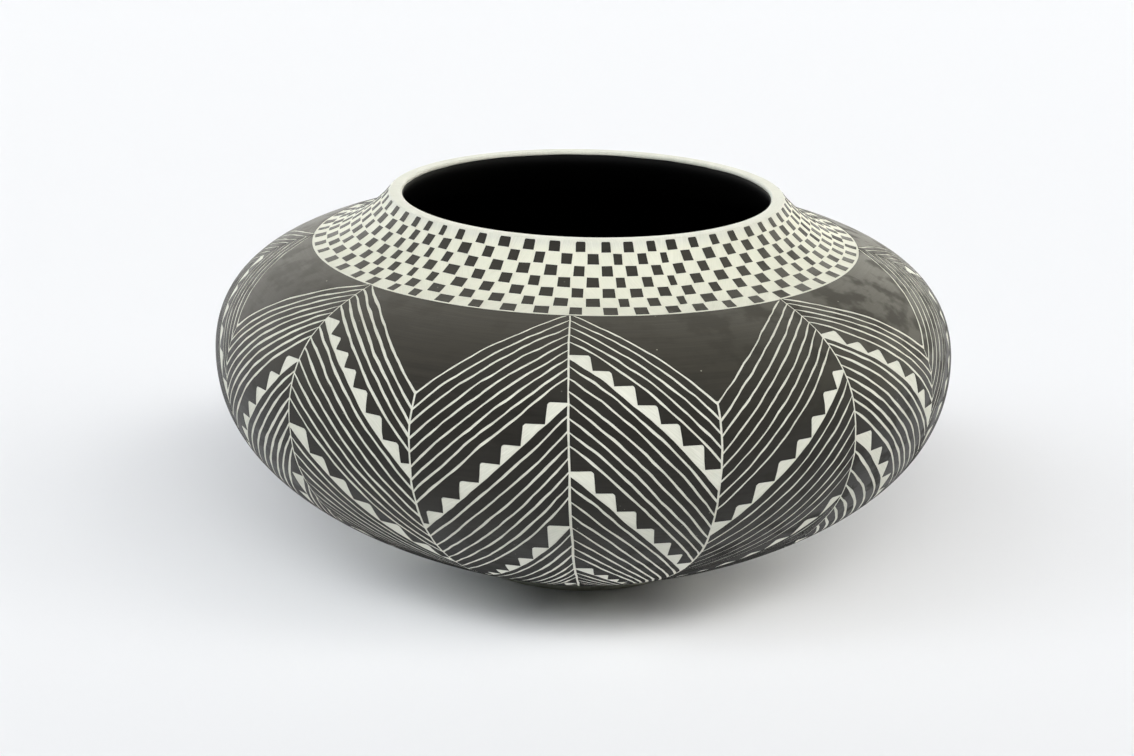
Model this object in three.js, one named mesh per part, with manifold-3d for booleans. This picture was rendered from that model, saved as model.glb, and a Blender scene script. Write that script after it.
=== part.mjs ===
// A carved porcelain bowl: a thrown body, black inside, with a coat of black slip
// that carved lines divide into a collar, eight plain fields and sixteen chevron panels.
// Millimetres, +Z up, origin under the centre of the foot.

import * as THREE from 'three';
import { mergeVertices } from 'three/addons/utils/BufferGeometryUtils.js';
import Module from 'manifold-3d';

// Overall form, measured over the slip
const bowlHeight = 144;
const mouthRadius = 69.5; // inner edge of the lip
const lipWidth = 5.2;
const lipRound = 0.9;
const collarRadius = 102.7; // at the base of the collar
const collarDrop = 18.6; // from the lip down to the base of the collar
const bellyRadius = 140;
const bellyDrop = 59.1; // from the lip down to the widest place
const footRadius = 46;
const footWidth = 5.5;
const footHeight = 3;
const footShelf = 2; // how far the belly's end stands out over the foot

// Slopes below the horizontal, in degrees, and the length of each curve's handles
const lipSlope = 58.5;
const lipHandle = 3.8;
const collarSlope = 10.9;
const collarHandle = 14.6;
const shoulderSlope = 16.2;
const shoulderHandle = 25.5;
const shoulderLift = 20.5; // upright handle above the widest place
const bellyHang = 39.25; // upright handle below the widest place
const undersideSlope = 22.7;
const undersideHandle = 58;

// Thicknesses
const wall = 5;
const floorThickness = 6;
const slipThickness = 0.35;
const glazeThickness = 0.3;
const seat = 0.1; // clearance between a coat and the porcelain under it
const glazeStop = 1.2; // bare porcelain between the lip and the black inside
const bareLip = 0.6; // bare porcelain between the lip and the collar's slip

// Inside of the belly
const insideHang = 47;
const floorHandle = 66;

// Layout of the slip: degrees from the front towards +X, spaced by eye
const peakAngles = [-2.6, 41.4, 87.6, 133.4, 179.3, 225.2, 271, 313.3];
const valleyAngles = [19.3, 63.9, 110.5, 156.4, 202.3, 248.1, 292.5, 335.9];
const carvedLine = 1;
const slipEndRadius = 50; // bare porcelain from here in to the foot
const fieldTipDrop = 41; // from the lip down to the tip of a plain field
const fieldSideAcross = 0.46; // the field side's handle, as shares of its width
const fieldSideDown = 0.24; // and of its drop

// Facets
const facets = 48;
const collarSteps = 4;
const shoulderSteps = 6;
const bellySteps = 8;
const insideSteps = 7;
const roundSteps = 2;
const fieldSideSteps = 5;

const wasm = await Module();
wasm.setup();

const fullTurn = 2 * Math.PI;
const peaks = peakAngles.map(THREE.MathUtils.degToRad);
const valleys = valleyAngles.map(THREE.MathUtils.degToRad);
const porcelainDepth = slipThickness + seat;
const lipOuter = mouthRadius + lipWidth;

const materials = {
  porcelain: new THREE.MeshStandardMaterial({ color: 0xecebdd, roughness: 0.45, metalness: 0 }),
  slip: new THREE.MeshStandardMaterial({ color: 0x343436, roughness: 0.5, metalness: 0 }),
  glaze: new THREE.MeshStandardMaterial({ color: 0x050505, roughness: 0.25, metalness: 0 }),
};

// A point (radius, height) away from another, on a slope given in degrees
function along(point, length, slope) {
  const angle = THREE.MathUtils.degToRad(slope);
  return new THREE.Vector2(point.x + length * Math.cos(angle), point.y + length * Math.sin(angle));
}

// The three curves of the outline, from the lip down to the foot
const lipEnd = new THREE.Vector2(lipOuter, bowlHeight - lipRound / 2);
const collarBase = new THREE.Vector2(collarRadius, bowlHeight - collarDrop);
const widest = new THREE.Vector2(bellyRadius, bowlHeight - bellyDrop);
const bellyEnd = new THREE.Vector2(footRadius + footShelf, footHeight);

const collarCurve = new THREE.CubicBezierCurve(
  lipEnd,
  along(lipEnd, lipHandle, -lipSlope),
  along(collarBase, -collarHandle, -collarSlope),
  collarBase,
);
const shoulderCurve = new THREE.CubicBezierCurve(
  collarBase,
  along(collarBase, shoulderHandle, -shoulderSlope),
  new THREE.Vector2(widest.x, widest.y + shoulderLift),
  widest,
);
const bellyCurve = new THREE.CubicBezierCurve(
  widest,
  new THREE.Vector2(widest.x, widest.y - bellyHang),
  along(bellyEnd, undersideHandle, undersideSlope),
  bellyEnd,
);

// Points of a curve at a depth below its surface, between two of its parameters
function stretch(curve, steps, depth, from = 0, to = 1) {
  const points = [];
  for (let i = 0; i <= steps; i += 1) {
    const t = from + ((to - from) * i) / steps;
    const point = curve.getPoint(t);
    const tangent = curve.getTangent(t);
    points.push(new THREE.Vector2(point.x + tangent.y * depth, point.y - tangent.x * depth));
  }
  return points;
}

// The parameter at which a curve crosses a radius, where it crosses it once
function parameterAt(curve, radius) {
  const widens = curve.getPoint(1).x > curve.getPoint(0).x;
  let low = 0;
  let high = 1;
  for (let i = 0; i < 40; i += 1) {
    const middle = (low + high) / 2;
    if (curve.getPoint(middle).x < radius === widens) low = middle;
    else high = middle;
  }
  return low;
}

const collarSlipStart = parameterAt(collarCurve, lipOuter + bareLip);
const collarSlipEnd = parameterAt(collarCurve, collarRadius - carvedLine);
const carvedSlipEnd = parameterAt(bellyCurve, slipEndRadius);

// Collar, shoulder and belly at one depth, as far as the slip goes on each
function outlineAt(depth) {
  const collar = stretch(collarCurve, collarSteps, depth, collarSlipStart, collarSlipEnd);
  const shoulder = stretch(shoulderCurve, shoulderSteps, depth);
  const belly = stretch(bellyCurve, bellySteps, depth, 0, carvedSlipEnd);
  return { collar, shoulder, belly };
}

// A quarter turn between two directions, in degrees, around a centre
function corner(x, y, radius, from, to) {
  const points = [];
  for (let i = 0; i <= roundSteps; i += 1) {
    const angle = THREE.MathUtils.degToRad(from + ((to - from) * i) / roundSteps);
    points.push(new THREE.Vector2(x + radius * Math.cos(angle), y + radius * Math.sin(angle)));
  }
  return points;
}

// The wall of the hollow, from the middle of the floor up to the lip, at a distance off the porcelain
function hollow(standOff) {
  const depth = porcelainDepth + wall + standOff;
  const floorHeight = footHeight + floorThickness + standOff;
  const side = bellyRadius - depth;
  const inside = new THREE.CubicBezierCurve(
    new THREE.Vector2(0, floorHeight),
    new THREE.Vector2(floorHandle, floorHeight),
    new THREE.Vector2(side, widest.y - insideHang),
    new THREE.Vector2(side, widest.y),
  );
  const shoulder = stretch(shoulderCurve, shoulderSteps, depth).reverse();
  const collar = stretch(collarCurve, collarSteps, depth).reverse();
  const throat = new THREE.Vector2(mouthRadius - standOff, bowlHeight - glazeStop);
  const neck = collar.slice(1).filter((point) => point.y < throat.y);
  return [...inside.getPoints(insideSteps), ...shoulder.slice(1), ...neck, throat];
}

function turned(profile) {
  const geometry = new THREE.LatheGeometry(profile, facets, peaks[0], fullTurn);
  geometry.rotateX(Math.PI / 2);
  geometry.deleteAttribute('normal');
  geometry.deleteAttribute('uv');
  return mergeVertices(geometry, 1e-4);
}

function solidOf(geometry) {
  return new wasm.Manifold(
    new wasm.Mesh({
      numProp: 3,
      vertProperties: new Float32Array(geometry.attributes.position.array),
      triVerts: new Uint32Array(geometry.index.array),
    }),
  );
}

function geometryOf(solid) {
  const mesh = solid.getMesh();
  const geometry = new THREE.BufferGeometry();
  geometry.setAttribute('position', new THREE.BufferAttribute(mesh.vertProperties, 3));
  geometry.setIndex(new THREE.BufferAttribute(mesh.triVerts, 1));
  return geometry;
}

// A plate cut to a shape and stood up facing outwards at an angle round the bowl
function facingPlate(shape, angle) {
  const geometry = new THREE.ExtrudeGeometry(shape, {
    depth: bellyRadius + wall,
    bevelEnabled: false,
    curveSegments: fieldSideSteps,
  });
  geometry.deleteAttribute('normal');
  geometry.deleteAttribute('uv');
  const across = new THREE.Vector3(Math.cos(angle), Math.sin(angle), 0);
  const up = new THREE.Vector3(0, 0, 1);
  const outwards = new THREE.Vector3(Math.sin(angle), -Math.cos(angle), 0);
  geometry.applyMatrix4(new THREE.Matrix4().makeBasis(across, up, outwards));
  return solidOf(mergeVertices(geometry, 1e-4));
}

// A plain field's outline, hanging from the collar's base between two peaks to a tip at the valley,
// grown on every side
function fieldShape(peak, valley, nextPeak, growth) {
  const left = collarRadius * Math.sin(valley - peak) + growth;
  const right = collarRadius * Math.sin(nextPeak - valley) + growth;
  const top = collarBase.y;
  const tip = bowlHeight - fieldTipDrop - growth;
  const handleY = top - (top - tip) * fieldSideDown;
  const shape = new THREE.Shape();
  shape.moveTo(-left, top);
  shape.quadraticCurveTo(-left * fieldSideAcross, handleY, 0, tip);
  shape.quadraticCurveTo(right * fieldSideAcross, handleY, right, top);
  shape.lineTo(right, top + wall);
  shape.lineTo(-left, top + wall);
  shape.closePath();
  return shape;
}

// A wedge of the bowl between two angles, kept half a carved line clear of both
function wedge(from, to) {
  const reach = bellyRadius * 2;
  const middle = (from + to) / 2;
  const clear = carvedLine / 2 / Math.sin((to - from) / 2);
  const start = new THREE.Vector2(clear * Math.sin(middle), -clear * Math.cos(middle));
  const shape = new THREE.Shape();
  shape.moveTo(start.x, start.y);
  shape.lineTo(start.x + reach * Math.sin(from), start.y - reach * Math.cos(from));
  shape.lineTo(start.x + reach * Math.sin(to), start.y - reach * Math.cos(to));
  shape.closePath();
  const geometry = new THREE.ExtrudeGeometry(shape, { depth: bowlHeight, bevelEnabled: false });
  geometry.deleteAttribute('normal');
  geometry.deleteAttribute('uv');
  return solidOf(mergeVertices(geometry, 1e-4));
}

const bowl = new THREE.Group();

function addPiece(name, geometry, material) {
  const piece = new THREE.Mesh(geometry, material);
  piece.name = name;
  bowl.add(piece);
}

function porcelainBody() {
  const { collar, shoulder, belly } = outlineAt(porcelainDepth);
  const lipCentre = bowlHeight - lipRound;
  const lip = [
    ...corner(mouthRadius + lipRound, lipCentre, lipRound, 180, 90),
    ...corner(lipOuter - lipRound, lipCentre, lipRound, 90, 30),
  ];
  const footInner = footRadius - footWidth;
  const foot = [
    ...corner(footRadius - lipRound, lipRound, lipRound, 0, -90),
    ...corner(footInner + lipRound, lipRound, lipRound, -90, -180),
    new THREE.Vector2(footInner - lipRound, footHeight),
    new THREE.Vector2(0, footHeight),
  ];
  const profile = [...hollow(0), ...lip, ...collar, ...shoulder, ...belly.slice(1)];
  profile.push(bellyEnd, new THREE.Vector2(footRadius, footHeight - lipRound / 2), ...foot);
  addPiece('porcelain_body', turned(profile.reverse()), materials.porcelain);
}

function innerGlaze() {
  const under = hollow(seat);
  const over = hollow(seat + glazeThickness);
  addPiece('inner_glaze', turned([...over, ...under.reverse()].reverse()), materials.glaze);
}

// A closed ring of slip between the outside and the inside face of a stretch of the outline
function slipRing(outside, inside) {
  const profile = [...outside, ...inside.reverse()];
  profile.push(profile[0].clone());
  return turned(profile.reverse());
}

function collarSlip() {
  const ring = slipRing(outlineAt(0).collar, outlineAt(slipThickness).collar);
  addPiece('collar_slip', ring, materials.slip);
}

function carvedSlip() {
  const outer = outlineAt(0);
  const inner = outlineAt(slipThickness);
  const outside = [...outer.shoulder, ...outer.belly.slice(1)];
  const inside = [...inner.shoulder, ...inner.belly.slice(1)];
  const coat = solidOf(slipRing(outside, inside));
  const last = peaks.length - 1;
  let panels = coat;
  peaks.forEach((peak, i) => {
    const valley = valleys[i];
    const nextPeak = i === last ? peaks[0] + fullTurn : peaks[i + 1];
    const cut = (growth) => facingPlate(fieldShape(peak, valley, nextPeak, growth), valley);
    const field = coat.intersect(cut(-carvedLine / 2)).intersect(wedge(peak, nextPeak));
    addPiece(`plain_field_${i + 1}`, geometryOf(field), materials.slip);
    panels = panels.subtract(cut(carvedLine / 2));
  });
  peaks.forEach((peak, i) => {
    const valleyBefore = i === 0 ? valleys[last] - fullTurn : valleys[i - 1];
    const right = panels.intersect(wedge(peak, valleys[i]));
    const left = panels.intersect(wedge(valleyBefore, peak));
    addPiece(`chevron_right_${i + 1}`, geometryOf(right), materials.slip);
    addPiece(`chevron_left_${i + 1}`, geometryOf(left), materials.slip);
  });
}

porcelainBody();
innerGlaze();
collarSlip();
carvedSlip();

export default bowl;
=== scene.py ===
import math
import bmesh
import bpy
from mathutils import Matrix, Vector, geometry, noise


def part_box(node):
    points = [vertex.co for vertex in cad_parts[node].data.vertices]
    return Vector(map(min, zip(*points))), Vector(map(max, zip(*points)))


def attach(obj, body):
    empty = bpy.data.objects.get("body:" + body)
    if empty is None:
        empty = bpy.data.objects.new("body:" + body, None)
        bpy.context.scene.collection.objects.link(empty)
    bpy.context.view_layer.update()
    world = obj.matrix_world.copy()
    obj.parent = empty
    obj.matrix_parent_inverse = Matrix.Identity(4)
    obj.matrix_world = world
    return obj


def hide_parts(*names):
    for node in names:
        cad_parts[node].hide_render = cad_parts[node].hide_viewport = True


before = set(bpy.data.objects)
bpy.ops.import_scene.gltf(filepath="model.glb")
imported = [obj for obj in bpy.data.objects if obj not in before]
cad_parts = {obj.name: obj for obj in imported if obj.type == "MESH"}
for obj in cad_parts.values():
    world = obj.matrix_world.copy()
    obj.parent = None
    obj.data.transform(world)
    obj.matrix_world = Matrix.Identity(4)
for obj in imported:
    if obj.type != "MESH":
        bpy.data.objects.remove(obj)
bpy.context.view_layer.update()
print("frame loaded:", len(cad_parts), "nodes")

mm = 0.001
weld = 1e-6  # metres: points closer than this are one
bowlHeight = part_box("porcelain_body")[1].z

# The outline over the slip: slopes in degrees below the horizontal, the rest in metres
outline = {
    "lipOuter": 74.7 * mm,
    "lipDrop": 0.45 * mm,
    "lipSlope": 58.5,
    "lipHandle": 3.8 * mm,
    "collarRadius": 102.7 * mm,
    "collarDrop": 18.6 * mm,
    "collarSlope": 10.9,
    "collarHandle": 14.6 * mm,
    "shoulderSlope": 16.2,
    "shoulderHandle": 25.5 * mm,
    "shoulderLift": 20.5 * mm,
    "bellyRadius": 140 * mm,
    "bellyDrop": 59.1 * mm,
    "bellyHang": 39.25 * mm,
    "bellyEnd": 48 * mm,
    "footHeight": 3 * mm,
    "undersideSlope": 22.7,
    "undersideHandle": 58 * mm,
    "points": (300, 500, 900),  # on the collar, the shoulder and the belly
    "arcStep": 0.25 * mm,
    "normalReach": 4,  # arc steps to either side that a normal is taken over
}


def slanted(point, length, slope):
    angle = math.radians(slope)
    return point + Vector((length * math.cos(angle), length * math.sin(angle)))


def bezier(start, startHandle, endHandle, end, count):
    points = geometry.interpolate_bezier(
        start.to_3d(), startHandle.to_3d(), endHandle.to_3d(), end.to_3d(), count)
    return [p.to_2d() for p in points]


def drawOutline(o):
    lip = Vector((o["lipOuter"], bowlHeight - o["lipDrop"]))
    base = Vector((o["collarRadius"], bowlHeight - o["collarDrop"]))
    widest = Vector((o["bellyRadius"], bowlHeight - o["bellyDrop"]))
    end = Vector((o["bellyEnd"], o["footHeight"]))
    onCollar, onShoulder, onBelly = o["points"]
    points = bezier(
        lip, slanted(lip, o["lipHandle"], -o["lipSlope"]),
        slanted(base, -o["collarHandle"], -o["collarSlope"]), base, onCollar)
    collarLength = sum((b - a).length for a, b in zip(points, points[1:]))
    points += bezier(
        base, slanted(base, o["shoulderHandle"], -o["shoulderSlope"]),
        widest + Vector((0, o["shoulderLift"])), widest, onShoulder)[1:]
    points += bezier(
        widest, widest - Vector((0, o["bellyHang"])),
        slanted(end, o["undersideHandle"], o["undersideSlope"]), end, onBelly)[1:]
    return points, collarLength


def evenlySpaced(points, step):
    spaced, travelled, wanted = [points[0]], 0.0, step
    for a, b in zip(points, points[1:]):
        span = (b - a).length
        while travelled + span >= wanted:
            spaced.append(a.lerp(b, (wanted - travelled) / span))
            wanted += step
        travelled += span
    return spaced


outlinePoints, collarLength = drawOutline(outline)
arcPoints = evenlySpaced(outlinePoints, outline["arcStep"])
arcEnd = (len(arcPoints) - 1) * outline["arcStep"]


def limited(value, low, high):
    return min(max(value, low), high)


def outlineAt(arc):
    # place and outward normal at a distance down the outline from the lip's outer edge,
    # kept just short of the last point, so that there is always a next one
    place = limited(arc / outline["arcStep"], 0, len(arcPoints) - 1.001)
    i = int(place)
    point = arcPoints[i].lerp(arcPoints[i + 1], place - i)
    reach = outline["normalReach"]
    before = arcPoints[max(i - reach, 0)]
    after = arcPoints[min(i + 1 + reach, len(arcPoints) - 1)]
    run = (after - before).normalized()
    return point, Vector((-run.y, run.x))


def onBowl(angle, arc, height):
    # angle in degrees from the front towards +X, height above the slip's surface
    point, normal = outlineAt(arc)
    place = point + normal * height
    turn = math.radians(angle)
    return Vector((place.x * math.sin(turn), -place.x * math.cos(turn), place.y))


def arcAtRadius(radius):
    # on the underside, where the outline comes back in to a radius
    for i in range(len(arcPoints) - 1, 0, -1):
        if arcPoints[i].x > radius:
            return i * outline["arcStep"]
    return 0.0


def arcAtHeight(height):
    for i, point in enumerate(arcPoints):
        if point.y < height:
            return i * outline["arcStep"]
    return arcEnd


# How far a hand strays: two seeds lie this far apart in the noise, which is brought up to -1 to 1
handNoise = {"apart": (7.31, 1.77), "swing": 1.6}


def rough(seed, place, size):
    # smooth noise along a line, in waves of about this size, the same on every run
    first, second = handNoise["apart"]
    return noise.noise(Vector((place / size, seed * first, seed * second))) * handNoise["swing"]


print("outline drawn")


# Camera: the photograph's viewing angle, worked out from the mouth and the collar
camera = {
    "distance": 834 * mm,
    "rise": 196.4 * mm,  # above the lip
    "pitch": 17.987,
    "yaw": -0.408,
    "roll": 1.184,
    "lens": 71.87,
    "sensor": 36,
    "clip": (0.01, 50),
}


def makeCamera(c):
    data = bpy.data.cameras.new("photoCamera")
    data.lens = c["lens"]
    data.sensor_width = c["sensor"]
    data.clip_start, data.clip_end = c["clip"]
    obj = bpy.data.objects.new("photoCamera", data)
    bpy.context.scene.collection.objects.link(obj)
    pitch, yaw, roll = (math.radians(c[k]) for k in ("pitch", "yaw", "roll"))
    forward = Vector((
        math.sin(yaw) * math.cos(pitch), math.cos(yaw) * math.cos(pitch), -math.sin(pitch)))
    right = forward.cross(Vector((0, 0, 1))).normalized()
    up = right.cross(forward)
    rolledRight = right * math.cos(roll) + up * math.sin(roll)
    rolledUp = up * math.cos(roll) - right * math.sin(roll)
    turn = Matrix((rolledRight, rolledUp, -forward)).transposed().to_4x4()
    place = Matrix.Translation((0, -c["distance"], bowlHeight + c["rise"]))
    obj.matrix_world = place @ turn
    bpy.context.scene.camera = obj


makeCamera(camera)
print("camera placed")


# Shader helpers
def newMaterial(name):
    material = bpy.data.materials.new(name)
    material.use_nodes = True
    tree = material.node_tree
    tree.nodes.clear()
    out = tree.nodes.new("ShaderNodeOutputMaterial")
    shader = tree.nodes.new("ShaderNodeBsdfPrincipled")
    tree.links.new(shader.outputs["BSDF"], out.inputs["Surface"])
    return material, tree, shader


def setInput(tree, node, key, value):
    # a socket is linked, anything else is set as the input's own value
    if isinstance(value, bpy.types.NodeSocket):
        tree.links.new(value, node.inputs[key])
    else:
        node.inputs[key].default_value = value


def addNode(tree, kind, inputs=None, **settings):
    node = tree.nodes.new(kind)
    for key, value in settings.items():
        setattr(node, key, value)
    for key, value in (inputs or {}).items():
        setInput(tree, node, key, value)
    return node


def mathNode(tree, operation, a, b=0.0, c=0.0):
    return addNode(tree, "ShaderNodeMath", {0: a, 1: b, 2: c}, operation=operation).outputs[0]


def mapRange(tree, value, low, high, outLow, outHigh):
    return addNode(tree, "ShaderNodeMapRange", {
        "Value": value, "From Min": low, "From Max": high,
        "To Min": outLow, "To Max": outHigh}).outputs[0]


def mixFloat(tree, factor, a, b):
    return addNode(tree, "ShaderNodeMix", {0: factor, 2: a, 3: b}, data_type="FLOAT").outputs[0]


def mixColour(tree, factor, a, b):
    return addNode(tree, "ShaderNodeMix", {0: factor, 6: a, 7: b}, data_type="RGBA").outputs[2]


def noiseNode(tree, vector, scale, detail, coarseness):
    return addNode(tree, "ShaderNodeTexNoise", {
        "Vector": vector, "Scale": scale, "Detail": detail,
        "Roughness": coarseness}).outputs["Fac"]


def centred(tree, value):
    # noise about nought instead of about a half
    return mathNode(tree, "SUBTRACT", value, 0.5)


def splitPlace(tree, place):
    return addNode(tree, "ShaderNodeSeparateXYZ", {0: place}).outputs


def joinPlace(tree, x, y, z):
    return addNode(tree, "ShaderNodeCombineXYZ", {0: x, 1: y, 2: z}).outputs[0]


def addBump(tree, shader, height, look):
    bump = addNode(tree, "ShaderNodeBump", {
        "Height": height, "Strength": look["bumpStrength"], "Distance": look["bumpDepth"]})
    tree.links.new(bump.outputs[0], shader.inputs["Normal"])


def display(r, g, b):
    # a colour as it looks on screen, 0 to 255, turned into Blender's linear values
    def linear(v):
        v /= 255
        return v / 12.92 if v <= 0.04045 else ((v + 0.055) / 1.055) ** 2.4
    return (linear(r), linear(g), linear(b), 1)


# Marks that every fired surface shares: rings from turning, a soft mottle, fine grit,
# strokes of the carving tool, and nearness to the foot and to the collar, where painted
# shade and painted light are laid on
firedMarks = {
    "ringsPerMetre": 800.0,
    "ringBreaks": 4.0,  # how much the rings change on their way round
    "ringNoise": (1.0, 4.0, 0.6),  # scale, detail, coarseness
    "mottleNoise": (6.0, 0.68),  # detail, coarseness
    "gritNoise": (2.0, 0.5),
    "strokeTurn": 7.9,  # radians that bring the folds to the peaks and valleys
    "strokeFold": 22.5,  # degrees from a peak to the next valley
    "strokeRadius": 0.09,  # metres: the outline is taken as a round about this place
    "strokeHeight": 0.075,
    "strokeReach": 0.055,
    "strokeSlope": 0.125,  # metres down for each radian across
    "strokesPerMetre": 2600.0,
    "strokeBreaks": (30.0, 1.5),
    "strokeNoise": (1.0, 2.0, 0.5),
    # nearness to the foot, where the slip gets painted shade and the porcelain painted light
    "lowFrom": (0.058, 0.024),  # heights between which nearness to the foot comes in
    "lowEnd": (0.005, 0.012),  # and between which it goes out again
    # nearness to the collar, where the porcelain gets painted light
    "collarFrom": (0.122, 0.128),
    "collarEnd": (0.1428, 0.1405),
}


def makeFiredSurface(f):
    group = bpy.data.node_groups.new("firedSurface", "ShaderNodeTree")
    for label in ("Mottle Scale", "Grit Scale"):
        group.interface.new_socket(label, in_out="INPUT", socket_type="NodeSocketFloat")
    for label in ("Rings", "Mottle", "Grit", "Strokes", "NearFootPaintedLight", "CollarCreamAndPaintedLight"):
        group.interface.new_socket(label, in_out="OUTPUT", socket_type="NodeSocketFloat")
    into = group.nodes.new("NodeGroupInput").outputs
    out = group.nodes.new("NodeGroupOutput")

    def times(a, b):
        return mathNode(group, "MULTIPLY", a, b)

    def between(first, last):
        begun = mapRange(group, z, *f[first], 0.0, 1.0)
        return times(begun, mapRange(group, z, *f[last], 0.0, 1.0))

    place = addNode(group, "ShaderNodeTexCoord").outputs["Object"]
    x, y, z = splitPlace(group, place)
    radius = mathNode(group, "SQRT", mathNode(group, "ADD", times(x, x), times(y, y)))
    angle = mathNode(group, "ARCTAN2", x, times(y, -1.0))
    ringPlace = joinPlace(
        group, times(radius, f["ringsPerMetre"]), times(z, f["ringsPerMetre"]),
        times(mathNode(group, "SINE", angle), f["ringBreaks"]))
    # tool strokes run down both sides of every peak, as the carved bands do
    peaked = mathNode(group, "PINGPONG", mathNode(
        group, "ADD", angle, f["strokeTurn"]), math.radians(f["strokeFold"]))
    down = times(mathNode(
        group, "ARCTAN2", mathNode(group, "SUBTRACT", z, f["strokeHeight"]),
        mathNode(group, "SUBTRACT", radius, f["strokeRadius"])), f["strokeReach"])
    along = mathNode(group, "MULTIPLY_ADD", peaked, f["strokeSlope"], down)
    breaksDown, breaksRound = f["strokeBreaks"]
    strokePlace = joinPlace(
        group, times(along, f["strokesPerMetre"]), times(peaked, breaksDown),
        times(angle, breaksRound))
    results = {
        "Rings": centred(group, noiseNode(group, ringPlace, *f["ringNoise"])),
        "Mottle": centred(group, noiseNode(
            group, place, into["Mottle Scale"], *f["mottleNoise"])),
        "Grit": noiseNode(group, place, into["Grit Scale"], *f["gritNoise"]),
        "Strokes": centred(group, noiseNode(group, strokePlace, *f["strokeNoise"])),
        # masks for painted shade and painted light, near the foot and on the collar
        "NearFootPaintedLight": between("lowFrom", "lowEnd"),
        "CollarCreamAndPaintedLight": between("collarFrom", "collarEnd"),
    }
    for label, value in results.items():
        group.links.new(value, out.inputs[label])
    return group


firedSurface = makeFiredSurface(firedMarks)


def useFired(tree, look):
    node = tree.nodes.new("ShaderNodeGroup")
    node.node_tree = firedSurface
    for label, value in look["marks"].items():
        node.inputs[label].default_value = value
    return node.outputs


def addMarks(tree, fired, start, shares):
    # a value with so much of each mark added to it
    total = start
    for label, share in shares.items():
        total = mathNode(tree, "MULTIPLY_ADD", fired[label], share, total)
    return total


def tint(tree, fired, label, colour, look):
    # a colour that takes over where a mark is strong
    takes, share = look[label]
    return mixColour(tree, mathNode(tree, "MULTIPLY", fired[label], share), colour, takes)


def setPlain(shader, look):
    # what is the same all over the surface
    for label, value in look["plain"].items():
        shader.inputs[label].default_value = value


# Black slip, burnished and painted on over the porcelain, with painted shade darkening it towards
# the foot
slipLook = {
    # each coat's dark colour, how many times as light its light one is, and how strong its specks
    "coats": {"blackSlip": (display(21.3, 20, 17), 1.9, 0.25),
              "fieldSlip": (display(22, 20.4, 16.6), 2.3, 0.6)},
    "marks": {"Mottle Scale": 38.0, "Grit Scale": 2600.0},
    "middle": 0.5,  # of the way from the dark colour to the light one
    "tone": {"Mottle": 1.3, "Rings": 2.4},
    # painted shade: the slip's colour darkens towards the foot, standing in for the shade under the
    # belly
    "NearFootPaintedLight": (display(8, 8, 7), 0.7),
    "speckScale": 200.0,
    "speckChance": 0.6,  # share of the cells that have no speck
    "speckEdge": (0.07, 0.035),
    "speckColour": display(170, 168, 155),
    "smudgeNoise": (85.0, 3.0, 0.55),
    "smudgeStretch": (1, 1, 1.7),
    "smudgeEdge": (0.5, 0.62),
    "smudgeSide": (0.0, 0.09, 0.35, 1.0),  # metres towards +X, and the strength at either end
    "mottleSwing": (-0.3, 0.3),
    "roughness": (0.33, 0.49),
    "smudgeRoughness": 0.26,
    "duller": {"Rings": 0.2, "NearFootPaintedLight": 0.45},  # the underside was never burnished
    "plain": {"Specular IOR Level": 0.28, "Specular Tint": (1, 0.98, 0.93, 1)},
    "lift": {"Rings": 3.0},
    "bumpStrength": 0.3,
    "bumpDepth": 0.08 * mm,
}


def makeSlipMaterial(name, look):
    dark, lightness, speckle = look["coats"][name]
    material, tree, shader = newMaterial(name)
    fired = useFired(tree, look)
    place = addNode(tree, "ShaderNodeTexCoord").outputs["Object"]
    light = tuple(c * lightness for c in dark[:3]) + (1,)
    colour = mixColour(tree, addMarks(tree, fired, look["middle"], look["tone"]), dark, light)
    # painted shade: darker towards the foot
    colour = tint(tree, fired, "NearFootPaintedLight", colour, look)
    # pale specks of clay, a few to a field
    cells = addNode(tree, "ShaderNodeTexVoronoi", {"Vector": place, "Scale": look["speckScale"]})
    pick = addNode(tree, "ShaderNodeSeparateColor", {0: cells.outputs["Color"]}).outputs[0]
    chosen = mathNode(tree, "GREATER_THAN", pick, look["speckChance"])
    speck = mapRange(tree, cells.outputs["Distance"], *look["speckEdge"], 0.0, speckle)
    colour = mixColour(
        tree, mathNode(tree, "MULTIPLY", speck, chosen), colour, look["speckColour"])
    tree.links.new(colour, shader.inputs["Base Color"])
    # smudges where the burnish is duller, seen where the light grazes it
    stretched = addNode(tree, "ShaderNodeMapping", {
        "Vector": place, "Scale": look["smudgeStretch"]}).outputs[0]
    smudge = noiseNode(tree, stretched, *look["smudgeNoise"])
    smudge = mapRange(tree, smudge, *look["smudgeEdge"], 0.0, 1.0)
    side = mapRange(tree, splitPlace(tree, place)[0], *look["smudgeSide"])
    smudge = mathNode(tree, "MULTIPLY", smudge, side)
    gloss = mapRange(tree, fired["Mottle"], *look["mottleSwing"], *look["roughness"])
    gloss = mathNode(tree, "MULTIPLY_ADD", smudge, look["smudgeRoughness"], gloss)
    gloss = addMarks(tree, fired, gloss, look["duller"])
    tree.links.new(gloss, shader.inputs["Roughness"])
    setPlain(shader, look)
    addBump(tree, shader, addMarks(tree, fired, fired["Grit"], look["lift"]), look)
    return material


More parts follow.
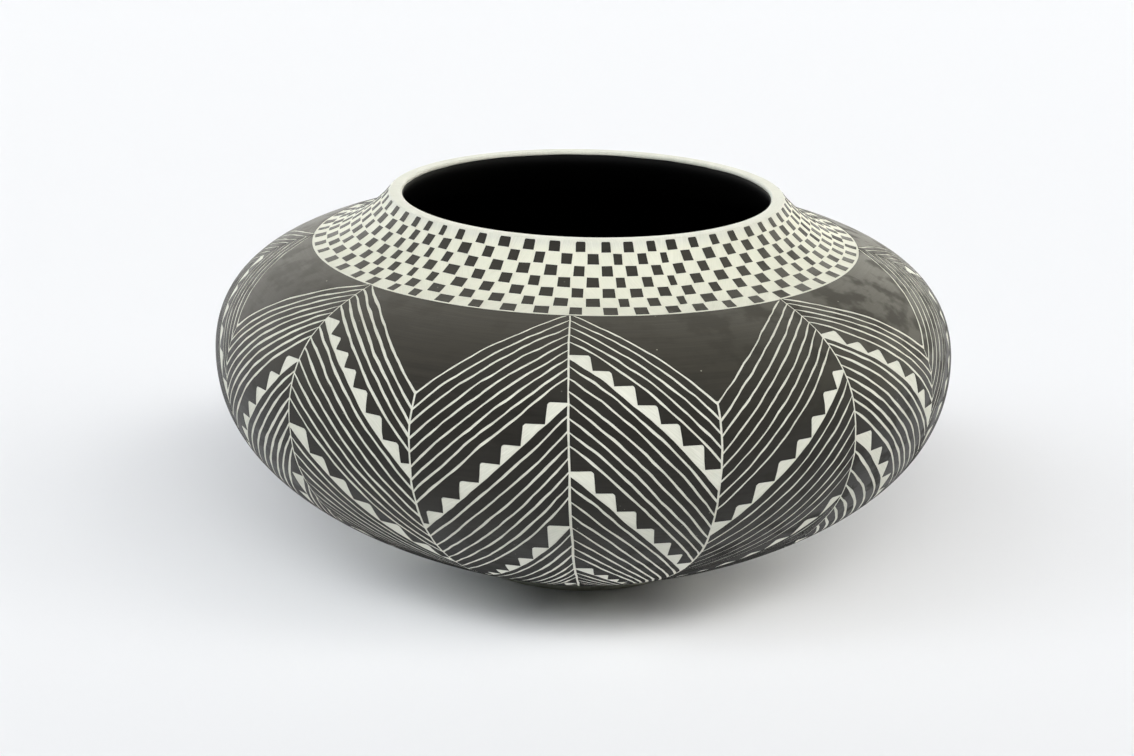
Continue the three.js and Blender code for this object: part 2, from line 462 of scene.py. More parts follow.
# Porcelain, creamier on the collar, with painted light making it lighter on the collar and towards
# the foot
porcelainLook = {
    "colours": (display(202, 203, 190), display(216, 216, 203)),
    "marks": {"Mottle Scale": 38.0, "Grit Scale": 2600.0},
    "middle": 0.5,
    "tone": {"Mottle": 1.4, "Strokes": 2.6},
    # partly cream colour, partly painted light: the collar is made creamier and lighter, as if lit
    # more from above
    "CollarCreamAndPaintedLight": (display(231, 231, 205), 0.3),
    # painted light: lighter towards the foot, standing in for light thrown up from the floor
    "NearFootPaintedLight": (display(247, 247, 236), 0.75),
    "plain": {"Roughness": 0.5, "Specular IOR Level": 0.12},
    "lift": {"Strokes": 3.2, "Rings": 0.6},
    "bumpStrength": 0.6,
    "bumpDepth": 0.1 * mm,
}


def makePorcelainMaterial(look):
    material, tree, shader = newMaterial("porcelain")
    fired = useFired(tree, look)
    tone = addMarks(tree, fired, look["middle"], look["tone"])
    colour = mixColour(tree, tone, *look["colours"])
    # painted light on the collar and towards the foot
    for label in ("CollarCreamAndPaintedLight", "NearFootPaintedLight"):
        colour = tint(tree, fired, label, colour, look)
    tree.links.new(colour, shader.inputs["Base Color"])
    setPlain(shader, look)
    addBump(tree, shader, addMarks(tree, fired, fired["Grit"], look["lift"]), look)
    return material


# The black coat inside
insideLook = {
    "colours": ((0.0025, 0.0025, 0.0027, 1), (0.006, 0.006, 0.006, 1)),
    "marks": {"Mottle Scale": 38.0, "Grit Scale": 2600.0},
    "middle": 0.5,
    "tone": {"Mottle": 1.2},
    "plain": {"Roughness": 0.6, "Specular IOR Level": 0.1},
    "bumpStrength": 0.25,
    "bumpDepth": 0.2 * mm,
}


def makeInsideMaterial(look):
    material, tree, shader = newMaterial("blackInside")
    fired = useFired(tree, look)
    tone = addMarks(tree, fired, look["middle"], look["tone"])
    tree.links.new(mixColour(tree, tone, *look["colours"]), shader.inputs["Base Color"])
    setPlain(shader, look)
    addBump(tree, shader, fired["Rings"], look)
    return material


porcelain = makePorcelainMaterial(porcelainLook)
blackSlip = makeSlipMaterial("blackSlip", slipLook)
fieldSlip = makeSlipMaterial("fieldSlip", slipLook)
blackInside = makeInsideMaterial(insideLook)
print("materials made")


def meshObject(name, bm, material, smooth=True):
    mesh = bpy.data.meshes.new(name)
    bm.to_mesh(mesh)
    bm.free()
    mesh.polygons.foreach_set("use_smooth", [smooth] * len(mesh.polygons))
    mesh.materials.append(material)
    obj = bpy.data.objects.new(name, mesh)
    bpy.context.scene.collection.objects.link(obj)
    return obj


def turned(name, profile, material, steps):
    # one profile of (radius, height) points, spun a full turn round the bowl's axis
    bm = bmesh.new()
    verts = [bm.verts.new((p[0], 0, p[1])) for p in profile]
    edges = [bm.edges.new(pair) for pair in zip(verts, verts[1:])]
    bmesh.ops.spin(bm, geom=verts + edges, cent=(0, 0, 0), axis=(0, 0, 1), dvec=(0, 0, 0),
                   angle=2 * math.pi, steps=steps, use_merge=True, use_duplicate=False)
    bmesh.ops.remove_doubles(bm, verts=bm.verts[:], dist=weld)
    bmesh.ops.recalc_face_normals(bm, faces=bm.faces[:])
    return meshObject(name, bm, material)


def rounded(centre, radius, start, end, count):
    points = []
    for i in range(count + 1):
        angle = math.radians(start + (end - start) * i / count)
        points.append(Vector((
            centre[0] + radius * math.cos(angle), centre[1] + radius * math.sin(angle))))
    return points


# The thrown body: wall, flat lip, turned foot, and the black coat in its hollow
body = {
    "mouthRadius": 69.5 * mm,
    "lipRound": 0.9 * mm,
    "lipTurn": 32,  # degrees above level at which the outer rounding meets the collar
    "wall": 5 * mm,
    "slip": 0.13 * mm,
    "seat": 0.32 * mm,
    "floor": 9 * mm,
    "insideHang": 47 * mm,
    "floorHandle": 66 * mm,
    "floorPoints": 60,
    "hollowStep": 2 * mm,
    "hollowRise": 0.4 * mm,  # least rise from one point of the hollow to the next
    "coatOver": 0.4 * mm,
    "coatUnder": -0.05 * mm,
    "throat": 1.2 * mm,
    "throatBand": 0.1 * mm,
    "throatUneven": 0.2 * mm,
    "throatNoise": (6, 1.7, 0.6),  # waves round the mouth, place in the noise, middle
    "outsideStart": 0.4 * mm,
    "outsideStep": 1.5 * mm,
    "footRadius": 46 * mm,
    "footWidth": 5.5 * mm,
    "footRound": 0.9 * mm,
    "footEase": 0.3 * mm,
    "footNeck": 0.9 * mm,
    "recessEase": 0.5 * mm,
    "recessDome": 0.3 * mm,
    "lipSteps": (8, 6),
    "footSteps": 6,
    "spinSteps": 288,
}


def hollowProfile(b, standOff):
    # from the middle of the floor up the inside to the throat
    depth = b["slip"] + b["seat"] + b["wall"] + standOff
    side = outline["bellyRadius"] - depth
    level = bowlHeight - outline["bellyDrop"]
    floor = b["floor"] + standOff
    points = bezier(Vector((0, floor)), Vector((b["floorHandle"], floor)),
                    Vector((side, level - b["insideHang"])), Vector((side, level)),
                    b["floorPoints"])
    arc = arcAtHeight(level)
    while arc > 0:
        place, normal = outlineAt(arc)
        inner = place - normal * depth
        if inner.y > points[-1].y + b["hollowRise"]:
            points.append(inner)
        arc -= b["hollowStep"]
    points.append(Vector((b["mouthRadius"] - standOff, bowlHeight - b["throat"])))
    return points


def lipProfile(b):
    curl, level = b["lipRound"], bowlHeight - b["lipRound"]
    innerSteps, outerSteps = b["lipSteps"]
    inner = rounded((b["mouthRadius"] + curl, level), curl, 180, 90, innerSteps)
    outer = rounded((outline["lipOuter"] - curl, level), curl, 90, b["lipTurn"], outerSteps)
    return inner + outer


def footProfile(b):
    # from the end of the belly under the foot to the middle of its recess
    outer, top, turn = b["footRadius"], outline["footHeight"], b["footRound"]
    inner = outer - b["footWidth"]
    points = [Vector((outline["bellyEnd"], top)),
              Vector((outer + b["footEase"], top - b["footEase"])),
              Vector((outer, top - b["footNeck"]))]
    points += rounded((outer - turn, turn), turn, 0, -90, b["footSteps"])
    points += rounded((inner + turn, turn), turn, -90, -180, b["footSteps"])
    points += [Vector((inner - b["recessEase"], top)), Vector((0, top + b["recessDome"]))]
    return points


def makeBody(b):
    points = hollowProfile(b, 0) + lipProfile(b)
    arc = b["outsideStart"]
    while arc < arcEnd - b["outsideStep"]:
        place, normal = outlineAt(arc)
        points.append(place - normal * b["slip"])
        arc += b["outsideStep"]
    obj = turned("porcelainBody", points + footProfile(b), porcelain, b["spinSteps"])
    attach(obj, "root")
    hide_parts("porcelain_body")


def makeInside(b):
    over = hollowProfile(b, b["coatOver"])
    under = hollowProfile(b, b["coatUnder"])
    obj = turned("insideCoat", over + under[::-1], blackInside, b["spinSteps"])
    # the coat's edge under the lip wavers as it was brushed on
    waves, seed, middle = b["throatNoise"]
    for v in obj.data.vertices:
        if v.co.z > bowlHeight - b["throat"] - b["throatBand"]:
            turn = math.atan2(v.co.x, -v.co.y)
            place = Vector((waves * math.sin(turn), waves * math.cos(turn), seed))
            v.co.z -= b["throatUneven"] * (middle + noise.noise(place))
    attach(obj, "root")
    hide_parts("inner_glaze")


makeBody(body)
makeInside(body)
print("body turned")


# Slip cut-outs: drawn flat, cut to a grid, raised, bevelled and laid on the bowl
cutOut = {
    "slip": 0.13 * mm,
    "sunk": 0.12 * mm,  # how deep a cut-out sits in the porcelain
    "bevel": 0.08 * mm,
    "bevelSegments": 2,
    "flatRadius": 120 * mm,
    "closest": 0.05 * mm,  # corners of a shape that are nearer to each other are one
    "upright": 0.5,  # a face whose normal rises less than this is a side
    "gridAcross": 4.5 * mm,
    "gridDown": 5 * mm,
    "shadingWeight": 100,
}


def drawShape(bm, points):
    # a face from (angle, arc) points, leaving out any that repeat the one before
    closest = cutOut["closest"]
    places = []
    for angle, arc in points:
        x, y = math.radians(angle) * cutOut["flatRadius"], -arc
        if not places or math.hypot(x - places[-1][0], y - places[-1][1]) > closest:
            places.append((x, y))
    if math.hypot(places[0][0] - places[-1][0], places[0][1] - places[-1][1]) < closest:
        places.pop()
    bm.faces.new([bm.verts.new((x, y, 0)) for x, y in places])


def cutAlong(bm, co, normal, clear=False):
    bmesh.ops.bisect_plane(bm, geom=bm.verts[:] + bm.edges[:] + bm.faces[:], dist=weld,
                           plane_co=co, plane_no=normal, clear_outer=clear)


def gridCut(bm, across, down):
    xs = [v.co.x for v in bm.verts]
    ys = [v.co.y for v in bm.verts]
    for i in range(math.ceil(min(xs) / across), math.floor(max(xs) / across) + 1):
        cutAlong(bm, (i * across, 0, 0), (1, 0, 0))
    for i in range(math.ceil(min(ys) / down), math.floor(max(ys) / down) + 1):
        cutAlong(bm, (0, i * down, 0), (0, 1, 0))


def raiseShapes(bm, c):
    thick = c["slip"] + c["sunk"]
    raised = bmesh.ops.extrude_face_region(bm, geom=bm.faces[:], use_keep_orig=True)
    tops = [g for g in raised["geom"] if isinstance(g, bmesh.types.BMVert)]
    bmesh.ops.translate(bm, verts=tops, vec=(0, 0, thick))
    bmesh.ops.recalc_face_normals(bm, faces=bm.faces[:])
    rim = [e for e in bm.edges
           if all(v.co.z > thick / 2 for v in e.verts)
           and any(abs(f.normal.z) < c["upright"] for f in e.link_faces)]
    bmesh.ops.bevel(bm, geom=rim, offset=c["bevel"], segments=c["bevelSegments"], profile=0.5,
                    affect="EDGES", clamp_overlap=True, material=-1)
    bmesh.ops.translate(bm, verts=bm.verts[:], vec=(0, 0, -thick))


def layOnBowl(bm):
    for v in bm.verts:
        angle = math.degrees(v.co.x / cutOut["flatRadius"])
        v.co = onBowl(angle, -v.co.y, v.co.z)
    bmesh.ops.recalc_face_normals(bm, faces=bm.faces[:])


def finishCutOut(name, bm, material, node, across=cutOut["gridAcross"], down=cutOut["gridDown"]):
    gridCut(bm, across, down)
    raiseShapes(bm, cutOut)
    layOnBowl(bm)
    obj = meshObject(name, bm, material)
    weighted = obj.modifiers.new("evenShading", "WEIGHTED_NORMAL")
    weighted.weight = cutOut["shadingWeight"]
    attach(obj, "root")
    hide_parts(node)


# The checkered collar: guide lines run down it, unevenly spaced, and every second box is cut away
collar = {
    "rows": 7,
    "firstRow": -0.35 * mm,  # from the lip's outer edge down to the first row
    "rowPitch": 4.94 * mm,
    "rowHeight": 4.3 * mm,
    "columns": 56,
    "phase": -3.5,  # degrees from the front to the first guide line
    "inset": 0.33,  # degrees of white left on each side of a box
    "drift": 3.0,  # degrees that the guide lines wander by
    "driftSpan": 5.0,  # columns
    "driftSeed": 3.3,
    "uneven": 0.5,  # degrees that one guide line is off
    "unevenNoise": (5.1, 0.7),  # seed and wave
    "fan": 0.55,  # degrees that a guide line leans by on its way down
    "fanNoise": (8.3, 1.3),
    "boxSeeds": (0.37, 1.13),  # for each row and each column
    "stray": 0.13,  # degrees that a box's corners are off
    "strayNoise": (2.0, 0.6),  # place and wave
    "edgeUneven": 0.16 * mm,
    "edgeNoise": (12.0, 0.7),
    "roundTop": 0.9 * mm,  # the first row's boxes are rounded off under the lip
    "roundTurn": 0.62,
    "roundBend": 0.3,
    "gridAcross": 50 * mm,
    "gridDown": 2.6 * mm,
}


def guideAngle(c, line, row):
    # guide lines lean one way or the other on their way down
    lines = 2 * c["columns"]
    turn = 2 * math.pi * line / lines
    tight = c["columns"] / (2 * math.pi * c["driftSpan"])
    place = Vector((math.sin(turn) * tight, math.cos(turn) * tight, c["driftSeed"]))
    drift = c["drift"] * noise.noise(place)
    single = line % lines
    unevenSeed, unevenWave = c["unevenNoise"]
    fanSeed, fanWave = c["fanNoise"]
    lean = c["fan"] * rough(fanSeed, single, fanWave) * row / (c["rows"] - 1)
    uneven = c["uneven"] * rough(unevenSeed, single, unevenWave)
    return c["phase"] + line * 360 / lines + drift + uneven + lean


def roundedCorner(c, side, turn, level):
    # one upper corner of a box, from its side to its top
    bend = c["roundBend"]
    return [(side, level + c["roundTop"]),
            (side + turn * c["roundTurn"] * bend, level + c["roundTop"] * bend),
            (side + turn * c["roundTurn"], level)]


def makeCollar(c):
    bm = bmesh.new()
    rowSeed, columnSeed = c["boxSeeds"]
    strayPlace, strayWave = c["strayNoise"]
    edgePlace, edgeWave = c["edgeNoise"]
    for row in range(c["rows"]):
        for column in range(c["columns"]):
            seed = row * rowSeed + column * columnSeed
            stray = [c["stray"] * rough(seed, strayPlace + i, strayWave) for i in range(4)]
            shift = [c["edgeUneven"] * rough(seed, edgePlace + i, edgeWave) for i in range(4)]
            line = 2 * column + row % 2
            left = guideAngle(c, line, row) + c["inset"]
            right = guideAngle(c, line + 1, row) - c["inset"]
            top = c["firstRow"] + row * c["rowPitch"]
            bottom = top + c["rowHeight"]
            points = [(left + stray[0], bottom + shift[0]), (right + stray[1], bottom + shift[1])]
            if row == 0:
                points += roundedCorner(c, right, -1, top + shift[2])
                points += roundedCorner(c, left, 1, top + shift[3])[::-1]
            else:
                points += [(right + stray[2], top + shift[2]), (left + stray[3], top + shift[3])]
            drawShape(bm, points)
    finishCutOut("collarChecks", bm, blackSlip, "collar_slip", c["gridAcross"], c["gridDown"])


makeCollar(collar)
print("collar cut")


# Chevron panels: lines from a peak's spine down to the valley's, and stepped bands between them.
# Places are distances from the mouth's edge down the outline, at the peak's spine.
panels = {
    "fields": 8,
    "spacing": 45,  # degrees from peak to peak
    "firstPeak": -2.6,
    "collarLine": collarLength,
    "lipRun": 5.2 * mm,  # from the mouth's edge to where the outline starts
    "peakShift": (0, -1.0, 0.2, 0, 0, 0, 3.6, 0.9),  # degrees off an even spacing, cut by eye
    "valleyShift": (-0.6, -1.0, 0, 0, 0, 0, 2.6, 1.0),
    "peakLean": (1.2, 0.8),  # degrees, and how much more at the front and the back
    "peakSpan": (110 * mm, 1.7),  # below the collar, and how many spans the lean goes on for
    "valleyLean": 0.5,
    "valleySpan": (75 * mm, 70 * mm),
    "spineWander": ((0.12, 11 * mm), (0.07, 3.6 * mm)),  # degrees and wave, long and short
    "peakSeeds": ((1.9, 0), (3.1, 5)),
    "valleySeeds": ((2.3, 40), (3.7, 60)),
    "spineTop": 0.54 * mm,
    "spineEnd": 0.85 * mm,
    "spineSpan": 90 * mm,
    "spineUneven": 0.2,
    "spineNoise": (0.7, 9, 6 * mm),  # seeds and wave
    "firstLine": 39.3 * mm,
    "fall": 40.3 * mm,  # from the peak's spine down to the valley's
    "fallGrowth": 0.33,
    "bowSpan": 69.5 * mm,
    "liftFade": 0.55,  # share of a lift that is lost by the valley
    "lineWidth": 0.75 * mm,
    "lineGrowth": 0.7,  # how much wider the lines are at the foot
    "growthSpan": 130 * mm,
    "lineShare": {"right": (1.02, 1.3, 1.1, 1.05, 1, 1.05, 1.4, 1.34),
                  "left": (0.98, 0.9, 1.35, 1.1, 1, 1.05, 1.1, 1.42)},
    "lineUneven": 0.26,
    "lineTaper": (0.55, 0.45, 0.09),  # width at the peak, the rest, and where it is reached
    "lineWander": (0.4 * mm, 0.2 * mm),  # of the long wave and the short one
    "lineRun": 50,  # places across a panel that the waves are counted in
    # what a wave takes of the seeds of the line, the panel and the side, and how long it is
    "longWave": (1, 3.7, 1, 9.0),
    "shortWave": (1.7, 1, 1, 3.2),
    "widthWave": (2.3, 1, 0, 5.0),
    "lineJitter": 0.22,  # millimetres
    "jitterNoise": (3.3, 1.9),  # step from line to line, and wave
    "seedSteps": {"panel": 11.3, "band": 5.1, "group": 20},
    "slopeStep": 0.02,
    "steps": 28,
    "end": 50 * mm,  # radius at which the slip stops
    "pastEnd": 30 * mm,
    "fewerLines": {(2, "left"): 2},  # the first group is not as long everywhere
    # in millimetres: each group's first line, its pitch, how many lines, and how many teeth the
    # band below it has; then the straight side of each band, and the necks
    "right": {"groups": ((39.3, 3.7, 5, 7), (65.1, 4.57, 7, 7),
                         (106.7, 5.85, 7, 7), (161.0, 7.4, 8, 0)),
              "saws": (62.3, 103.1, 155.4), "bow": 0.09, "unbow": 0.01,
              "firstTooth": 1.13, "lastTooth": 0.85,
              "firstNeck": 2.0, "neck": 1.0, "neckGrowth": 0.7},
    "left": {"groups": ((39.3, 3.75, 9, 8), (83.0, 4.67, 7, 8),
                        (127.6, 6.9, 7, 8), (191.0, 8.0, 5, 0)),
             "saws": (79.5, 124.0, 187.0), "bow": 0.09, "unbow": 0.13,
             "firstTooth": 1.05, "lastTooth": 0.3,
             "firstNeck": 1.0, "neck": 0.45, "neckGrowth": 0.3},
    # panels that the carver fitted in otherwise. Lift: lines begin so many millimetres higher on
    # the peak's spine, with where that starts, is most and ends below the first line
    "changes": {(1, "left"): {"lift": (3.8, 0, 38, 72), "firstTooth": 0.85, "lastTooth": 0.9,
                              "groups": ((39.3, 4.25, 8, 8), (83.0, 4.67, 7, 8),
                                         (127.6, 6.9, 7, 8), (191.0, 8.0, 5, 0))},
                (1, "right"): {"lift": (3.0, 30, 62, 75)},
                (7, "right"): {"moreTeeth": 1, "lastTooth": 0.5}},
}

# One tooth of a stepped band. Shares are of the way across a panel.
tooth = {
    "uneven": 0.08,
    "unevenNoise": (1.9, 1.0, 0.6),  # seed step, place and wave
    "neckUneven": 0.2,  # millimetres
    "neckNoise": (2.7, 3.0, 0.6),
    "tilt": 0.3 * mm,
    "tiltNoise": (0.9, 5.0, 0.7),
    "lean": 0.014,
    "leanUneven": 0.008,
    "leanNoise": (1.3, 7.0, 0.7),
    "sideBend": (0.15, 0.55),  # share of the lean, share of the tooth's height
    "cornerSide": (0.6, 0.8 * mm),
    "cornerTurn": (0.004, 0.2 * mm),
    "cornerTop": 0.012,
    "foot": 0.003,
}


def spineWander(k, arc, seeds):
    return sum(size * rough(k * step + first, arc, wave)
               for (size, wave), (step, first) in zip(panels["spineWander"], seeds))


def peakAngle(k, arc):
    k %= panels["fields"]
    least, more = panels["peakLean"]
    span, spans = panels["peakSpan"]
    lean = least + more * math.cos(math.radians(2 * panels["spacing"] * k))
    down = limited((arc - panels["collarLine"]) / span, 0, spans)
    peak = panels["firstPeak"] + panels["spacing"] * k + panels["peakShift"][k]
    return peak + lean * down + spineWander(k, arc, panels["peakSeeds"])


def valleyAngle(k, arc):
    k %= panels["fields"]
    start, span = panels["valleySpan"]
    down = limited((arc - start) / span, 0, 1)
    peak = panels["firstPeak"] + panels["spacing"] * k
    valley = peak + panels["spacing"] / 2 + panels["valleyShift"][k]
    return valley + panels["valleyLean"] * down + spineWander(k, arc, panels["valleySeeds"])


class Panel:
    def __init__(self, k, side):
        self.k = k
        self.side = side
        self.sign = 1 if side == "right" else -1
        self.layout = {"lift": (0, 0, 1, 2), "moreTeeth": 0, **panels[side],
                       **panels["changes"].get((k, side), {})}

    def edgeAngles(self, arc):
        # from the peak's spine to the valley's, in degrees
        radius = outlineAt(arc)[0].x
        down = limited((arc - panels["collarLine"]) / panels["spineSpan"], 0, 1)
        wide = panels["spineTop"] + (panels["spineEnd"] - panels["spineTop"]) * down
        step, first, wave = panels["spineNoise"]
        wide *= 1 + panels["spineUneven"] * rough(self.k * step + first, arc, wave)
        gap = math.degrees(wide / 2 / radius)
        if self.side == "right":
            return peakAngle(self.k, arc) + gap, valleyAngle(self.k, arc) - gap
        turn = 360 if self.k == 0 else 0
        return peakAngle(self.k, arc) - gap, valleyAngle(self.k - 1, arc) - turn + gap

    def lifted(self, run):
        tall, begin, most, end = self.layout["lift"]
        down = run / mm
        return tall * mm * max(min((down - begin) / (most - begin), (end - down) / (end - most)), 0)

    def wave(self, key, seed, across):
        ofLine, ofPanel, ofSide, size = panels[key]
        mixed = seed * ofLine + self.k * ofPanel + self.sign * ofSide
        return rough(mixed, across * panels["lineRun"], size)

    def line(self, start, across, seed=None):
        # arc of a carved line, that starts at a place on the peak's spine, part of the way across;
        # its bow is a parabola, which the four brings to its full share halfway across
        run = start - panels["firstLine"]
        fall = panels["fall"] + panels["fallGrowth"] * run
        bow = self.layout["bow"] - self.layout["unbow"] * run / panels["bowSpan"]
        arc = start + fall * (across - bow * 4 * across * (1 - across)) - panels["lipRun"]
        arc -= self.lifted(run) * (1 - panels["liftFade"] * across)
        if seed is not None:
            for wander, key in zip(panels["lineWander"], ("longWave", "shortWave")):
                arc += wander * self.wave(key, seed, across)
        return arc

    def halfWidth(self, start, across, seed):
        before = max(across - panels["slopeStep"], 0)
        after = min(across + panels["slopeStep"], 1)
        fall = self.line(start, after) - self.line(start, before)
        arc = self.line(start, across)
        a, b = self.edgeAngles(arc)
        run = math.radians(abs(b - a)) * outlineAt(arc)[0].x * (after - before)
        slope = math.hypot(fall, run) / run
        down = min((start - panels["firstLine"]) / panels["growthSpan"], 1)
        width = panels["lineWidth"] * panels["lineShare"][self.side][self.k]
        width *= 1 + panels["lineGrowth"] * down * down
        width *= 1 + panels["lineUneven"] * self.wave("widthWave", seed, across)
        least, rest, reached = panels["lineTaper"]
        width *= least + rest * min(across / reached, 1)
        return width * slope / 2

    def point(self, across, arc):
        a, b = self.edgeAngles(arc)
        return (a + (b - a) * across, arc)

    def below(self, start, seed):
        # the slip's edge under a carved line
        return lambda t: self.line(start, t, seed) + self.halfWidth(start, t, seed)

    def above(self, start, seed):
        return lambda t: self.line(start, t, seed) - self.halfWidth(start, t, seed)

    def edge(self, start, seed):
        return lambda t: self.line(start, t, seed)

    def along(self, edge):
        n = panels["steps"]
        return [self.point(i / n, edge(i / n)) for i in range(n + 1)]

    def strip(self, bm, upper, lower):
        drawShape(bm, self.along(upper) + self.along(lower)[::-1])

    def toothNoise(self, key, seed, j):
        step, place, wave = tooth[key]
        return rough(seed + j * step, place, wave)

    def toothCuts(self, teeth, seed):
        # where one tooth ends and the next begins, on the way across
        first = self.layout["firstTooth"]
        whole = first + teeth - 2 + self.layout["lastTooth"]
        cuts = [0.0]
        for j in range(1, teeth):
            off = tooth["uneven"] * self.toothNoise("unevenNoise", seed, j)
            cuts.append((first + j - 1 + off) / whole)
        return cuts + [1.0]

    def stepped(self, bm, upper, hypotenuse, teeth, seed):
        # slip between a carved line and the stepped side of a white band
        layout = self.layout
        points = self.along(upper)
        cuts = self.toothCuts(teeth, seed)
        tops = []
        for j in range(teeth):
            neck = layout["neck"] + layout["neckGrowth"] * j / (teeth - 1)
            neck += tooth["neckUneven"] * self.toothNoise("neckNoise", seed, j)
            tops.append(hypotenuse(cuts[j]) - (layout["firstNeck"] if j == 0 else neck) * mm)
        for j in range(teeth - 1, -1, -1):
            lean = tooth["lean"] + tooth["leanUneven"] * self.toothNoise("leanNoise", seed, j)
            corner = tops[j] + tooth["tilt"] * self.toothNoise("tiltNoise", seed, j)
            tall = hypotenuse(cuts[j + 1]) - tops[j]
            right = cuts[j + 1]
            if j < teeth - 1:
                bend, bendDown = tooth["sideBend"]
                side, sideDown = tooth["cornerSide"]
                turn, turnDown = tooth["cornerTurn"]
                points += [self.point(right - lean * bend, corner + tall * bendDown),
                           self.point(right - lean * side, corner + sideDown),
                           self.point(right - lean - turn, corner + turnDown),
                           self.point(right - lean - tooth["cornerTop"], corner)]
            else:
                points.append(self.point(right, corner))
            if j > 0:
                points.append(self.point(cuts[j] + tooth["foot"], tops[j]))
        points.append(self.point(0, tops[0]))
        drawShape(bm, points)


def panelSeed(panel):
    return panel.k * panels["seedSteps"]["panel"] + panel.sign


def bandSeed(seed, g):
    return seed + g * panels["seedSteps"]["band"]


def makePanel(k, side):
    panel = Panel(k, side)
    layout = panel.layout
    bm = bmesh.new()
    seed = panelSeed(panel)
    seedStep, jitterWave = panels["jitterNoise"]
    fewer = panels["fewerLines"].get((k, side), 0)
    rise = fewer * layout["groups"][0][1]
    upper = None
    for g, (first, pitch, count, teeth) in enumerate(layout["groups"]):
        if g == 0:
            count -= fewer
            teeth += layout["moreTeeth"]
        else:
            first -= rise
            upper = panel.edge((layout["saws"][g - 1] - rise) * mm, bandSeed(seed, g))
        for i in range(count):
            jitter = panels["lineJitter"] * rough(seed, first + i * seedStep, jitterWave)
            start = (first + pitch * i + jitter) * mm
            lineSeed = seed + g * panels["seedSteps"]["group"] + i
            if upper is not None:
                panel.strip(bm, upper, panel.above(start, lineSeed))
            upper = panel.below(start, lineSeed)
        if teeth:
            band = panel.edge((layout["saws"][g] - rise) * mm, bandSeed(seed, g + 1))
            panel.stepped(bm, upper, band, teeth, seed + g)
        else:
            panel.strip(bm, upper, lambda t: arcEnd + panels["pastEnd"])
    cutAlong(bm, (0, -arcAtRadius(panels["end"]), 0), (0, -1, 0), clear=True)
    name = f"chevron{side.capitalize()}{k + 1}"
    finishCutOut(name, bm, blackSlip, f"chevron_{side}_{k + 1}")


for k in range(panels["fields"]):
    makePanel(k, "right")
    makePanel(k, "left")
print("chevron panels cut")


# Plain fields, between the collar and the first line of the panels to either side
fields = {
    "collarGap": 0.5 * mm,
    "shoulder": 0.9,  # degrees that the top reaches past the last points of the sides
    "grid": 3.5 * mm,
}


def fieldSide(panel, top, shares):
    points = []
    edge = panel.above(panels["firstLine"], panelSeed(panel))
    for t in shares:
        arc = edge(t)
        if arc > top:
            points.append(panel.point(t, arc))
    return points


def makeField(k, f):
    nextPeak = (k + 1) % panels["fields"]
    turn = 360 if nextPeak == 0 else 0
    n = panels["steps"]
    top = panels["collarLine"] + f["collarGap"]
    down = [i / n for i in range(1, n + 1)]
    points = fieldSide(Panel(k, "right"), top, down)
    points += [(angle + turn, arc)
               for angle, arc in fieldSide(Panel(nextPeak, "left"), top, down[::-1])]
    lastAngle, firstAngle = points[-1][0], points[0][0]
    points += [(lastAngle + f["shoulder"], top), (firstAngle - f["shoulder"], top)]
    bm = bmesh.new()
    drawShape(bm, points)
    name, node = f"plainField{k + 1}", f"plain_field_{k + 1}"
    finishCutOut(name, bm, fieldSlip, node, f["grid"], f["grid"])


for k in range(panels["fields"]):
    makeField(k, fields)
print("plain fields cut")


# Floor and light: soft panels in front and to both sides, a white backdrop glowing low behind,
# and for the gloss a white ceiling. Directions are in degrees.
studio = {
    "floorRadius": 12.0,
    "floorSegments": 128,
    "plain": {"Base Color": display(238, 239, 241), "Roughness": 0.9, "Specular IOR Level": 0.05},
    # from the front, up, half width, half height, brightness
    "panels": ((3, 42, 18, 8, 5.2), (4, 46, 58, 7, 7.2),
               (69, 33, 10, 11, 5.4), (-63, 34, 10, 11, 5.5)),
    "panelSoft": (8, 4),  # how soft the edges are, across and up
    "backLight": 12.6,
    "backRise": (11, 6),  # how high it goes, and how soft its edge is
    "backFrom": (120, 20),  # how far round it starts, and how soft its edge is
    "leftTint": (0.96, 1, 1.05, 1),
    "rightTint": (1.03, 1, 0.96, 1),
    "tintSpan": 0.7,
    "glossFront": 0.325,
    "glossTop": 1.6,
    "glossLeft": 1.7,
    "glossRight": 2.0,
    "glossSpan": 0.3,
    "glossSide": (30, 100),
    "glossRise": (40, 75),
    "glossLeftTint": (1, 0.98, 0.92, 1),
    "glossRightTint": (1, 0.98, 0.83, 1),
    "seenWhite": (0.93, 0.93, 0.93, 1),
}


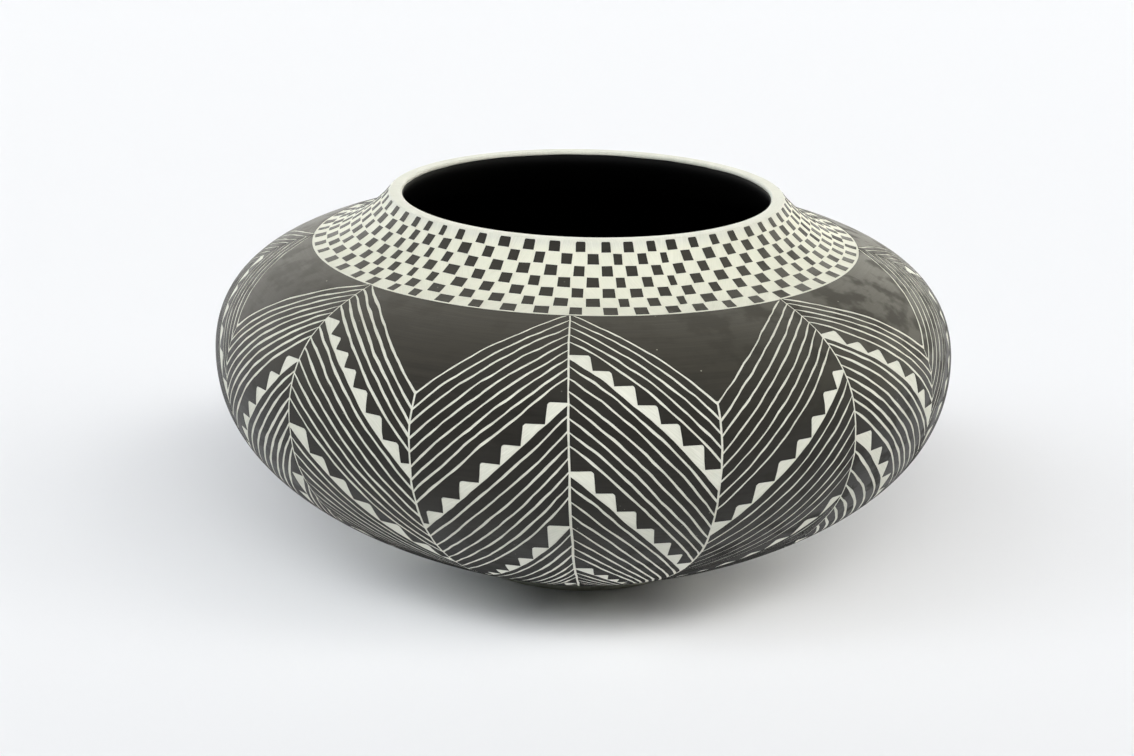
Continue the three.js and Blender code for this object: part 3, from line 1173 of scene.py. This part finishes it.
def makeWorld(s):
    world = bpy.data.worlds.new("studioWorld")
    world.use_nodes = True
    bpy.context.scene.world = world
    tree = world.node_tree
    back = tree.nodes["Background"]
    place = addNode(tree, "ShaderNodeTexCoord").outputs["Generated"]
    x, y, z = splitPlace(tree, place)
    turn = mathNode(tree, "ARCTAN2", x, mathNode(tree, "MULTIPLY", y, -1.0))
    around = mathNode(tree, "ABSOLUTE", turn)
    rise = mathNode(tree, "ARCSINE", z)

    def falling(value, middle, soft):
        return mapRange(
            tree, value, math.radians(middle + soft), math.radians(middle - soft), 0.0, 1.0)

    def away(value, middle):
        off = mathNode(tree, "SUBTRACT", value, math.radians(middle))
        return mathNode(tree, "ABSOLUTE", off)

    def growing(value, angles, low, high):
        start, end = (math.radians(a) for a in angles)
        return mapRange(tree, value, start, end, low, high)

    behind = mathNode(tree, "SUBTRACT", 1.0, falling(around, *s["backFrom"]))
    backdrop = mathNode(tree, "MULTIPLY", behind, falling(rise, *s["backRise"]))
    light = mathNode(tree, "MULTIPLY", backdrop, s["backLight"])
    softAcross, softUp = s["panelSoft"]
    for across, up, halfWidth, halfHeight, strength in s["panels"]:
        panel = mathNode(tree, "MULTIPLY", falling(away(turn, across), halfWidth, softAcross),
                         falling(away(rise, up), halfHeight, softUp))
        light = mathNode(tree, "MULTIPLY_ADD", panel, strength, light)
    sides = mapRange(tree, x, -s["glossSpan"], s["glossSpan"], s["glossLeft"], s["glossRight"])
    low = growing(around, s["glossSide"], s["glossFront"], sides)
    gloss = mixFloat(tree, growing(rise, s["glossRise"], 0.0, 1.0), low, s["glossTop"])
    ray = addNode(tree, "ShaderNodeLightPath").outputs
    strength = mixFloat(tree, ray["Is Glossy Ray"], light, gloss)
    strength = mixFloat(tree, ray["Is Camera Ray"], strength, 1.0)
    tree.links.new(strength, back.inputs["Strength"])
    # daylight from the left, warmer lamps on the right
    warm = mapRange(tree, x, -s["tintSpan"], s["tintSpan"], 0.0, 1.0)
    lit = mixColour(tree, warm, s["leftTint"], s["rightTint"])
    mirrored = mixColour(tree, warm, s["glossLeftTint"], s["glossRightTint"])
    colour = mixColour(tree, ray["Is Glossy Ray"], lit, mirrored)
    colour = mixColour(tree, ray["Is Camera Ray"], colour, s["seenWhite"])
    tree.links.new(colour, back.inputs["Color"])


def makeFloor(s):
    bm = bmesh.new()
    bmesh.ops.create_circle(
        bm, cap_ends=True, segments=s["floorSegments"], radius=s["floorRadius"])
    material, tree, shader = newMaterial("floorPaper")
    setPlain(shader, s)
    meshObject("floor", bm, material, smooth=False)


makeFloor(studio)
makeWorld(studio)
bpy.context.scene.view_settings.view_transform = "Standard"
print("studio lit")
